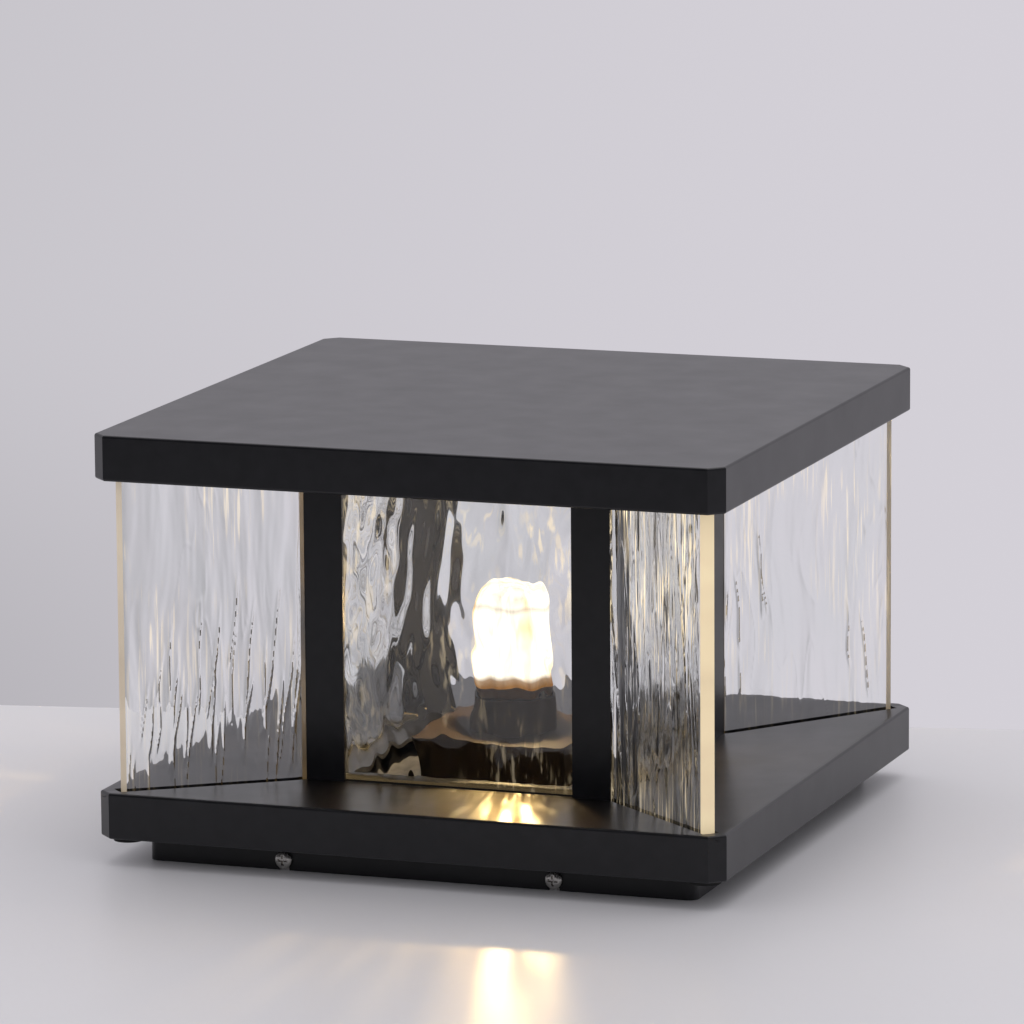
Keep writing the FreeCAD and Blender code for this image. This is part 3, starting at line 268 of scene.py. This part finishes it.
# Shares of the bulb's light by height in metres: dark at its neck, dimmer where the sticks end.
BULB_BANDS = ((0.066, 0.0), (0.0690, 0.10), (0.0705, 0.65), (0.0715, 1.0), (0.101, 1.0),
              (0.1032, 0.60), (0.105, 1.0), (0.116, 0.9))
finish = {
    "black_coat": coated("powder_coat", BLACK, 0.28, 0.36, 1500, 0.000005, 0.38),
    "black_hardware": metal("blackened_steel", (0.05, 0.05, 0.055), 0.35, 0.55, (1, 1, 1)),
    "black_rubber": coated("rubber", (0.012, 0.012, 0.012), 0.65, 0.85, 2200, 0.00006, 0.35),
    "zinc_hardware": metal("zinc_plate", (0.62, 0.63, 0.65), 0.28, 0.42, (1, 1, 4)),
    "galvanised_sheet": coated("zinc_sheet", (0.56, 0.54, 0.52), 0.42, 0.58, 900, 0.00003),
    "white_plastic": coated("polyamide", (0.74, 0.73, 0.68), 0.35, 0.5, 700, 0.00002),
    "black_plastic": coated("phenolic", (0.017, 0.010, 0.0045), 0.50, 0.65, 700, 0.000001, 0.12),
    "brown_lead": coated("brown_insulation", (0.20, 0.08, 0.035), 0.35, 0.5, 900, 0.00002),
    "blue_lead": coated("blue_insulation", (0.03, 0.11, 0.42), 0.35, 0.5, 900, 0.00002),
    "brass": metal("brass", (0.72, 0.52, 0.22), 0.2, 0.35, (1, 1, 5)),
    "bulb_metal": metal("nickel_shell", (0.72, 0.70, 0.66), 0.18, 0.3, (1, 1, 6)),
    "bulb_solder": metal("solder", (0.55, 0.55, 0.55), 0.35, 0.5, (1, 1, 1)),
    "bulb_collar": coated("bulb_collar", (0.10, 0.055, 0.02), 0.25, 0.4, 600, 0.00003),
    "stainless": metal("stainless", (0.70, 0.68, 0.65), 0.16, 0.34, (1, 5, 1)),
    # The glass finishes carry painted glints of lamp light; scale to strength shape them.
    "pane_glass": clear_glass("water_glass", (0.965, 0.98, 0.975), 400, (1, 1, 0.12),
                              (0.10, 0.08, 0.05), 0.0000004,
                              scale=330, stretch=0.22, least=0.40, most=0.55,
                              low=0.07, high=0.15, strength=1.2),
    "fin_glass": clear_glass("cast_glass", (0.95, 0.97, 0.965), 160, (1, 1, 0.18),
                             (0.30, 0.29, 0.27), 0.000004,
                             scale=760, stretch=0.035, least=0.30, most=1.0,
                             low=0.05, high=0.135, strength=1.45),
    "bulb_phosphor": glowing("filament_glow", (1.0, 0.86, 0.58), (1.0, 0.70, 0.32), 26.0, 500),
    "bulb_glass": glowing("bulb_glow", (1.0, 0.93, 0.78), (0.90, 0.60, 0.24), 1.5, 330,
                          (1, 1, 0.12), BULB_BANDS),
}
# Painted glow on the glass edges: brightest on the front right fin's outer rim, dimmer on the
# other fins' outer rims, dim amber on their inner rims and along the panes' feet.
fin_edge_glow = lit_edge("fin_edge_glow", (0.80, 0.66, 0.42), (0.60, 0.48, 0.31), 0.46)
dim_fin_edge = lit_edge("dim_fin_edge", (0.60, 0.51, 0.38), (0.46, 0.38, 0.28), 0.28)
inner_edge_glow = lit_edge("inner_fin_edge", (0.30, 0.19, 0.07), (0.05, 0.035, 0.02), 0.35)
pane_foot_glow = lit_edge("pane_foot_glow", (0.50, 0.36, 0.17), (0.12, 0.08, 0.04), 0.40)

slot_of = {row["node"]: row["material_slot"] for row in frame["record"]["subparts"]}
for name, thing in nodes.items():
    for held in thing.material_slots:
        held.material = finish[slot_of[name]]


# Glass sheets with real waves in their faces.

def wave_field(shape, pitch, across, along, seed):
    """A smooth random field of unit size, with set lengths across and along the sheet."""
    rng = np.random.RandomState(seed)
    spread = np.fft.fft2(rng.standard_normal(shape))
    fx = np.fft.fftfreq(shape[0], pitch)[:, None]
    fz = np.fft.fftfreq(shape[1], pitch)[None, :]
    spread *= np.exp(-2 * (math.pi * fx * across) ** 2 - 2 * (math.pi * fz * along) ** 2)
    field = np.real(np.fft.ifft2(spread))
    return field / field.std()


def bent(field, shift, pitch):
    """The field with its columns moved sideways by a second field, so that streaks wander."""
    columns = np.arange(field.shape[0])[:, None] + shift / pitch
    low = np.floor(columns).astype(int)
    part = columns - low
    rows = np.arange(field.shape[1])[None, :]
    count = field.shape[0]
    return field[low % count, rows] * (1 - part) + field[(low + 1) % count, rows] * part


def edge_fade(shape, pitch, margin):
    """Nought at the sheet's borders, and one from margin inwards."""
    ramps = []
    for count in shape:
        steps = np.arange(count)
        near = np.minimum(steps, count - 1 - steps) * pitch
        ramps.append(np.clip(near / margin, 0, 1))
    return ramps[0][:, None] * ramps[1][None, :]


def drips(shape, pitch, seed, count, tall, share):
    """Narrow upright grooves that wander a little, most of them in the sheet's lower share."""
    rng = np.random.RandomState(seed)
    across = np.arange(shape[0])[:, None] * pitch
    up = np.arange(shape[1])[None, :] * pitch
    depth = np.zeros(shape)
    for _ in range(count):
        middle = rng.uniform(0.02, 0.98) * shape[0] * pitch
        low = rng.uniform(-0.1, share) * shape[1] * pitch
        long = rng.uniform(0.35, 1.0) * tall
        lean = rng.uniform(-0.16, -0.02)
        phase, bend = rng.uniform(0, 6.3), rng.uniform(0.3, 0.9)
        line = middle + (up - low) * lean + bend * np.sin(up / rng.uniform(5, 12) + phase)
        body = np.clip((up - low) / 6, 0, 1) * np.clip((low + long - up) / (long * 0.3), 0, 1)
        depth += body * np.exp(-((across - line) / rng.uniform(0.30, 0.55)) ** 2)
    return np.minimum(depth, 1.4)


def cast_relief(shape, pitch, seed, runnel_count):
    """Depth in millimetres of the cast face of a fin: long runs, drips and fine ribs."""
    drift = wave_field(shape, pitch, 14, 30, seed + 1) * 2.2
    runs = bent(wave_field(shape, pitch, 2.6, 17, seed + 2), drift, pitch)
    lines = bent(wave_field(shape, pitch, 2.0, 13, seed + 3), drift * 1.3, pitch)
    ribs = bent(wave_field(shape, pitch, 0.75, 6, seed + 4), drift, pitch)
    where = np.clip(wave_field(shape, pitch, 9, 22, seed + 5) * 0.5 + 0.6, 0, 1)
    grooves = np.exp(-(lines / 0.13) ** 2) * where
    runnels = drips(shape, pitch, seed + 6, runnel_count, 70, 0.40)
    return runs * 0.14 + grooves * 0.14 + ribs * 0.035 + runnels * 0.62


def water_relief(shape, pitch, seed):
    """Depth in millimetres of a pane's face: soft waves, drawn out upwards, with hollows."""
    drift = wave_field(shape, pitch, 14, 20, seed + 1) * 4.5
    long_waves = bent(wave_field(shape, pitch, 2.3, 7.5, seed + 2), drift, pitch)
    cords = bent(wave_field(shape, pitch, 1.3, 5.0, seed + 4), drift, pitch)
    slow = wave_field(shape, pitch, 10, 18, seed + 3)
    across = np.linspace(1.25, 0.40, shape[0])[:, None]
    return (long_waves * 0.24 + cords * 0.03) * across + slow * 0.30


def grid_shape(wide, tall, pitch):
    """How many points a sheet has along its width and its height."""
    return int(round(wide / pitch)) + 1, int(round(tall / pitch)) + 1


# Places of a sheet's borders in the order in which glass_sheet makes them.
FOOT_RIM, OUTER_RIM, INNER_RIM = 0, 1, 3
RIM_FADE = 2.0


def glass_sheet(name, node, body, angle, centre, size, pitch, reliefs, glass, lit_rims):
    """A closed sheet that stands upright. Its local X runs along the width, Y through it.

    lit_rims lists (border, material) pairs. Sizes and the reliefs' depths are in millimetres.
    """
    wide, thick, tall = size
    shape = grid_shape(wide, tall, pitch)
    xs = np.linspace(-wide / 2, wide / 2, shape[0])
    zs = np.linspace(0, tall, shape[1])
    grid_x, grid_z = np.meshgrid(xs, zs, indexing="ij")
    fade = edge_fade(shape, pitch, RIM_FADE)
    layers = []
    for side, relief in zip((-1, 1), reliefs):
        depth = (relief - relief.min()) * fade
        layers.append(np.stack([grid_x, side * (thick / 2 - depth), grid_z], axis=-1))
    verts = np.concatenate([layer.reshape(-1, 3) for layer in layers])
    count = shape[0] * shape[1]
    index = np.arange(count).reshape(shape)
    a, b, c, d = index[:-1, :-1], index[1:, :-1], index[1:, 1:], index[:-1, 1:]
    near = np.stack([a, b, c, d], axis=-1).reshape(-1, 4)
    far = np.stack([a, d, c, b], axis=-1).reshape(-1, 4) + count
    borders = []
    for rim in (index[:, 0], index[-1, :], index[::-1, -1], index[0, ::-1]):
        borders.append(np.stack([rim[1:], rim[:-1], rim[:-1] + count, rim[1:] + count], axis=-1))
    faces = np.concatenate([near, far] + borders)
    mesh = bpy.data.meshes.new(name)
    mesh.from_pydata((verts * MM).tolist(), [], faces.tolist())
    mesh.materials.append(glass)
    smooth = np.zeros(len(faces), bool)
    smooth[:len(near) + len(far)] = True
    mesh.polygons.foreach_set("use_smooth", smooth)
    slots = np.zeros(len(faces), int)
    for number, (rim, edge) in enumerate(lit_rims, 1):
        mesh.materials.append(edge)
        start = len(near) + len(far) + sum(len(border) for border in borders[:rim])
        slots[start:start + len(borders[rim])] = number
    mesh.polygons.foreach_set("material_index", slots)
    mesh.update()
    mesh.set_sharp_from_angle(angle=math.radians(60))
    thing = bpy.data.objects.new(name, mesh)
    scene.collection.objects.link(thing)
    thing.matrix_world = Matrix.Translation(Vector(centre) * MM) @ Matrix.Rotation(
        math.radians(angle), 4, "Z")
    bpy.context.view_layer.update()
    mesh.transform(thing.matrix_world)
    thing.matrix_world = Matrix.Identity(4)
    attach(thing, body)
    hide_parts(node)


# Fins and panes, with their places from the axis and their heights in millimetres.

FIN_START, FIN_END, FIN_THICK = 108.393, 198.036, 7.0
FIN_LOW, FIN_HIGH = 17.3, 186.5
FIN_PITCH = 0.55
SMOOTH_FACE_SHARE = 0.18
RUNNELS = {"front_left": 34, "front_right": 14, "back_left": 16, "back_right": 9}
for number, (turn, corner) in enumerate(FIN_CORNERS):
    wide, tall = FIN_END - FIN_START, FIN_HIGH - FIN_LOW
    shape = grid_shape(wide, tall, FIN_PITCH)
    reliefs = (cast_relief(shape, FIN_PITCH, 40 + number * 10, RUNNELS[corner]),
               water_relief(shape, FIN_PITCH, 400 + number * 10) * SMOOTH_FACE_SHARE)
    if corner in ("back_left", "back_right"):
        reliefs = reliefs[::-1]
    middle = (FIN_START + FIN_END) / 2
    way = math.radians(turn)
    glass_sheet(f"cast_fin_{corner}", f"fin_{corner}", "head", turn,
                (middle * math.cos(way), middle * math.sin(way), FIN_LOW),
                (wide, FIN_THICK, tall), FIN_PITCH, reliefs, finish["fin_glass"],
                # painted edge glow, brightest on the front right fin
                [(OUTER_RIM, fin_edge_glow)] if corner == "front_right"
                else [(OUTER_RIM, dim_fin_edge), (INNER_RIM, inner_edge_glow)])

PANE_MIDDLE, PANE_THICK, PANE_WIDE = 74.5, 5.0, 131.6
PANE_LOW, PANE_HIGH = 31.5, 177.7
PANE_PITCH = 0.8
OTHER_PANES_DEPTH = 0.55
OUTER_FACE_SHARE = 0.45
for number, (turn, side) in enumerate(PANE_SIDES):
    tall = PANE_HIGH - PANE_LOW
    shape = grid_shape(PANE_WIDE, tall, PANE_PITCH)
    depth = 1.0 if side == "front" else OTHER_PANES_DEPTH
    reliefs = (water_relief(shape, PANE_PITCH, 900 + number * 10) * OUTER_FACE_SHARE * depth,
               water_relief(shape, PANE_PITCH, 1300 + number * 10) * depth)
    way = math.radians(turn)
    glass_sheet(f"water_pane_{side}", f"pane_{side}", "head", turn + 90,
                (PANE_MIDDLE * math.cos(way), PANE_MIDDLE * math.sin(way), PANE_LOW),
                (PANE_WIDE, PANE_THICK, tall), PANE_PITCH, reliefs, finish["pane_glass"],
                # painted glow along the pane's foot
                [(FOOT_RIM, pane_foot_glow)])


# Screw heads with a domed top and a cross recess, in millimetres.

HEAD_RADIUS, HEAD_TALL = 4.2, 2.6
SHANK_RADIUS, SHANK_LONG = 1.95, 10.0
RIM_SHARE = 0.34            # of the head's height, where the dome starts
DOME_POWER = 2.6
SLOT_HALF, SLOT_EASE = 0.62, 0.25
SLOT_REACH, REACH_EASE = 0.58, 0.3
SLOT_DEPTH, SLOT_SLOPE = 0.62, 0.35
CENTRE_SHARE = 0.38
RINGS, AROUND = 26, 72


def share_within(value):
    return max(0.0, min(1.0, value))


def head_height(x, y, share):
    """Height of the head's top at x, y, where share is the ring's part of the radius."""
    dome = HEAD_TALL * (RIM_SHARE + (1 - RIM_SHARE) * math.sqrt(max(0.0, 1 - share ** DOME_POWER)))
    across, along = min(abs(x), abs(y)), max(abs(x), abs(y))
    inside = share_within((SLOT_HALF - across) / SLOT_EASE)
    inside *= share_within((HEAD_RADIUS * SLOT_REACH - along) / REACH_EASE)
    return dome - inside * HEAD_TALL * SLOT_DEPTH * (1 - SLOT_SLOPE * along / HEAD_RADIUS)


def pan_screw(name, node, body, foot, way):
    verts, faces = [], []

    def ring(radius, height):
        start = len(verts)
        for step in range(AROUND):
            turn = 2 * math.pi * step / AROUND
            verts.append((radius * math.cos(turn), radius * math.sin(turn), height))
        return start

    def tie(low, high):
        for step in range(AROUND):
            after = (step + 1) % AROUND
            faces.append((low + step, low + after, high + after, high + step))

    base = ring(SHANK_RADIUS, -SHANK_LONG)
    faces.append(tuple(reversed(range(base, base + AROUND))))
    last = base
    for radius, height in ((SHANK_RADIUS, 0.0), (HEAD_RADIUS, 0.0),
                           (HEAD_RADIUS, HEAD_TALL * RIM_SHARE)):
        new = ring(radius, height)
        tie(last, new)
        last = new
    for step in range(1, RINGS):
        share = 1 - step / RINGS
        new = len(verts)
        for part in range(AROUND):
            turn = 2 * math.pi * part / AROUND
            x, y = HEAD_RADIUS * share * math.cos(turn), HEAD_RADIUS * share * math.sin(turn)
            verts.append((x, y, head_height(x, y, share)))
        tie(last, new)
        last = new
    verts.append((0, 0, HEAD_TALL * CENTRE_SHARE))
    for part in range(AROUND):
        faces.append((last + part, last + (part + 1) % AROUND, len(verts) - 1))
    mesh = bpy.data.meshes.new(name)
    mesh.from_pydata([tuple(v * MM for v in vert) for vert in verts], [], faces)
    mesh.materials.append(finish["stainless"])
    for face in mesh.polygons:
        face.use_smooth = True
    mesh.set_sharp_from_angle(angle=math.radians(38))
    turn = Vector((0, 0, 1)).rotation_difference(Vector((0, way, 0))).to_matrix().to_4x4()
    mesh.transform(Matrix.Translation(Vector(foot) * MM) @ turn)
    thing = bpy.data.objects.new(name, mesh)
    scene.collection.objects.link(thing)
    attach(thing, body)
    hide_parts(node)


SCREW_SPAN, SCREW_SEAT, SCREW_HEIGHT = 65.0, 131.85, 5.0
for side, left_right in ((-1, "left"), (1, "right")):
    for way, end in ((-1, "front"), (1, "back")):
        node = f"side_screw_{end}_{left_right}"
        pan_screw(f"pan_{node}", node, node,
                  (side * SCREW_SPAN, way * SCREW_SEAT, SCREW_HEIGHT), way)


# The bulb is lit: its pieces don't shade the lamp inside it.

for name in ("bulb_glass", "bulb_filaments", "bulb_stem"):
    nodes[name].visible_shadow = False


# Studio: a pale table that ends behind the light, a pale surround and soft lamps.

def plain(name, colour, rough_low, rough_high, specular):
    """A table top of one quiet colour, with slow changes of shade and gloss."""
    mat = Mat(name)
    shades = mat.ramp(mat.noise(3.0, detail=2.0), tones(colour, 0.985, 1.015))
    gloss = mat.spread(mat.noise(30, detail=3.0), rough_low, rough_high)
    mat.surface(shades, None, gloss, Specular_IOR_Level=specular)
    return mat.made


# Two points of the table's back edge in metres, which runs askew to the light.
TABLE_LEFT_BACK = (-0.335, 0.1626)
TABLE_RIGHT_BACK = (0.1743, 0.2619)
TABLE_FRONT = -1.1
TABLE_REACH = 1.6
TABLE_THICK = 0.03
slope = ((TABLE_RIGHT_BACK[1] - TABLE_LEFT_BACK[1])
         / (TABLE_RIGHT_BACK[0] - TABLE_LEFT_BACK[0]))
corners = []
for x in (-TABLE_REACH, TABLE_REACH):
    corners.append((x, TABLE_LEFT_BACK[1] + slope * (x - TABLE_LEFT_BACK[0])))
outline = [(-TABLE_REACH, TABLE_FRONT), (TABLE_REACH, TABLE_FRONT), corners[1], corners[0]]
table_mesh = bpy.data.meshes.new("table")
table_mesh.from_pydata(
    [(x, y, z) for z in (0.0, -TABLE_THICK) for x, y in outline], [],
    [(0, 1, 2, 3), (7, 6, 5, 4)] + [(i, i + 4, (i + 1) % 4 + 4, (i + 1) % 4) for i in range(4)])
table_mesh.materials.append(plain("table", (0.60, 0.592, 0.612), 0.37, 0.42, 0.35))
table = bpy.data.objects.new("table", table_mesh)
scene.collection.objects.link(table)

world = bpy.data.worlds.new("studio")
scene.world = world
world.use_nodes = True
tree = world.node_tree
tree.nodes.clear()
coords = tree.nodes.new("ShaderNodeTexCoord")
split = tree.nodes.new("ShaderNodeSeparateXYZ")
tree.links.new(coords.outputs["Generated"], split.inputs[0])


def world_ramp(source, low, high, first, second):
    """A colour that turns softly from first to second as the source goes from low to high."""
    spread = tree.nodes.new("ShaderNodeMapRange")
    spread.interpolation_type = "SMOOTHSTEP"
    spread.inputs["From Min"].default_value = low
    spread.inputs["From Max"].default_value = high
    tree.links.new(source, spread.inputs["Value"])
    mix = tree.nodes.new("ShaderNodeMix")
    mix.data_type = "RGBA"
    tree.links.new(spread.outputs["Result"], mix.inputs["Factor"])
    for socket, colour in ((mix.inputs[6], first), (mix.inputs[7], second)):
        if isinstance(colour, tuple):
            socket.default_value = (*colour, 1)
        else:
            tree.links.new(colour, socket)
    return mix.outputs[2]


# Colours of the surround by direction: as the eye sees it, as gloss mirrors it, as it lights.
WALL = (0.655, 0.632, 0.682)
WALL_DIM = (0.535, 0.522, 0.555)
WALL_LOW = (0.36, 0.350, 0.372)
BEHIND_THE_EYE = (0.02, 0.02, 0.022)
FILL_FRONT = (0.80, 0.795, 0.82)
FILL_BACK = (0.80, 0.79, 0.82)
left_wall = world_ramp(split.outputs["Z"], -0.215, -0.145, WALL_LOW, WALL_DIM)
seen = world_ramp(split.outputs["X"], -0.50, -0.26, left_wall, WALL)
mirrored = world_ramp(split.outputs["Y"], -0.55, 0.35, BEHIND_THE_EYE, WALL)
fill = world_ramp(split.outputs["Y"], -1.0, 1.0, FILL_FRONT, FILL_BACK)
path = tree.nodes.new("ShaderNodeLightPath")
eye = tree.nodes.new("ShaderNodeMath")
eye.operation = "MAXIMUM"
tree.links.new(path.outputs["Is Camera Ray"], eye.inputs[0])
tree.links.new(path.outputs["Is Transmission Ray"], eye.inputs[1])
shown = tree.nodes.new("ShaderNodeBackground")
tree.links.new(seen, shown.inputs["Color"])
lighting = tree.nodes.new("ShaderNodeBackground")
soft = tree.nodes.new("ShaderNodeMix")
soft.data_type = "RGBA"
tree.links.new(path.outputs["Is Diffuse Ray"], soft.inputs["Factor"])
tree.links.new(mirrored, soft.inputs[6])
tree.links.new(fill, soft.inputs[7])
tree.links.new(soft.outputs[2], lighting.inputs["Color"])
mixed = tree.nodes.new("ShaderNodeMixShader")
tree.links.new(eye.outputs[0], mixed.inputs[0])
tree.links.new(lighting.outputs[0], mixed.inputs[1])
tree.links.new(shown.outputs[0], mixed.inputs[2])
world_out = tree.nodes.new("ShaderNodeOutputWorld")
tree.links.new(mixed.outputs[0], world_out.inputs["Surface"])


def lamp_at(name, kind, place, way, power, colour):
    """A lamp of Blender's kind at a place, in metres, that shines along way."""
    lamp = bpy.data.lights.new(name, kind)
    lamp.energy = power
    lamp.color = colour
    thing = bpy.data.objects.new(name, lamp)
    scene.collection.objects.link(thing)
    thing.location = place
    thing.rotation_mode = "QUATERNION"
    thing.rotation_quaternion = way.to_track_quat("-Z", "Y")
    return thing


SOFTBOX_PLACE, SOFTBOX_SIDE = Vector((0.3, 0.5, 2.2)), 2.6
softbox = lamp_at("softbox_top", "AREA", SOFTBOX_PLACE, -SOFTBOX_PLACE, 24.0, (1.0, 0.985, 0.985))
softbox.data.shape = "RECTANGLE"
softbox.data.size = softbox.data.size_y = SOFTBOX_SIDE

# The bulb's own light: a small glow, and four beams that fall on the tray and the table.
GLOW_PLACE, GLOW_RADIUS = (0, 0, 0.090), 0.004
BEAM_PLACE, BEAM_RADIUS, BEAM_FALL = (0, 0, 0.088), 0.0025, -0.47
BEAM_TURNS, BEAM_WIDE = (-82, 8, 98, 188), math.radians(42)
thing = lamp_at("lamp_glow", "POINT", GLOW_PLACE, Vector((0, 0, -1)), 0.80, (1.0, 0.72, 0.36))
thing.data.shadow_soft_size = GLOW_RADIUS
thing.visible_camera = False
thing.visible_transmission = False
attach(thing, "bulb")
for number, turn in enumerate(BEAM_TURNS):
    way = Vector((math.cos(math.radians(turn)), math.sin(math.radians(turn)), BEAM_FALL))
    beam_at = lamp_at(f"lamp_beam_{number}", "SPOT", BEAM_PLACE, way, 3.3, (1.0, 0.70, 0.30))
    beam_at.data.spot_size = BEAM_WIDE
    beam_at.data.spot_blend = 1.0
    beam_at.data.shadow_soft_size = BEAM_RADIUS
    beam_at.visible_camera = False
    beam_at.visible_transmission = False
    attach(beam_at, "bulb")


# Camera at the photo's viewing angle.

AZIMUTH, ELEVATION, ROLL = math.radians(19.59), math.radians(10.36), math.radians(-0.40)
DISTANCE, AIM_RIGHT, AIM_UP = 3.2649, -0.00177, 0.1438
LENS_MM, SENSOR_MM, CLIP_END = 244.46, 36.0, 50
back = Vector((math.sin(AZIMUTH) * math.cos(ELEVATION),
               -math.cos(AZIMUTH) * math.cos(ELEVATION), math.sin(ELEVATION)))
right = (-back).cross(Vector((0, 0, 1))).normalized()
up = right.cross(-back)
turned_right = right * math.cos(ROLL) + up * math.sin(ROLL)
turned_up = up * math.cos(ROLL) - right * math.sin(ROLL)
camera_data = bpy.data.cameras.new("camera")
camera_data.lens = LENS_MM
camera_data.sensor_width = SENSOR_MM
camera_data.clip_end = CLIP_END
camera = bpy.data.objects.new("camera", camera_data)
scene.collection.objects.link(camera)
axes = Matrix((turned_right, turned_up, back)).transposed()
camera.matrix_world = Matrix.Translation(
    back * DISTANCE + turned_right * AIM_RIGHT + turned_up * AIM_UP) @ axes.to_4x4()
scene.camera = camera

scene.view_settings.view_transform = "Standard"
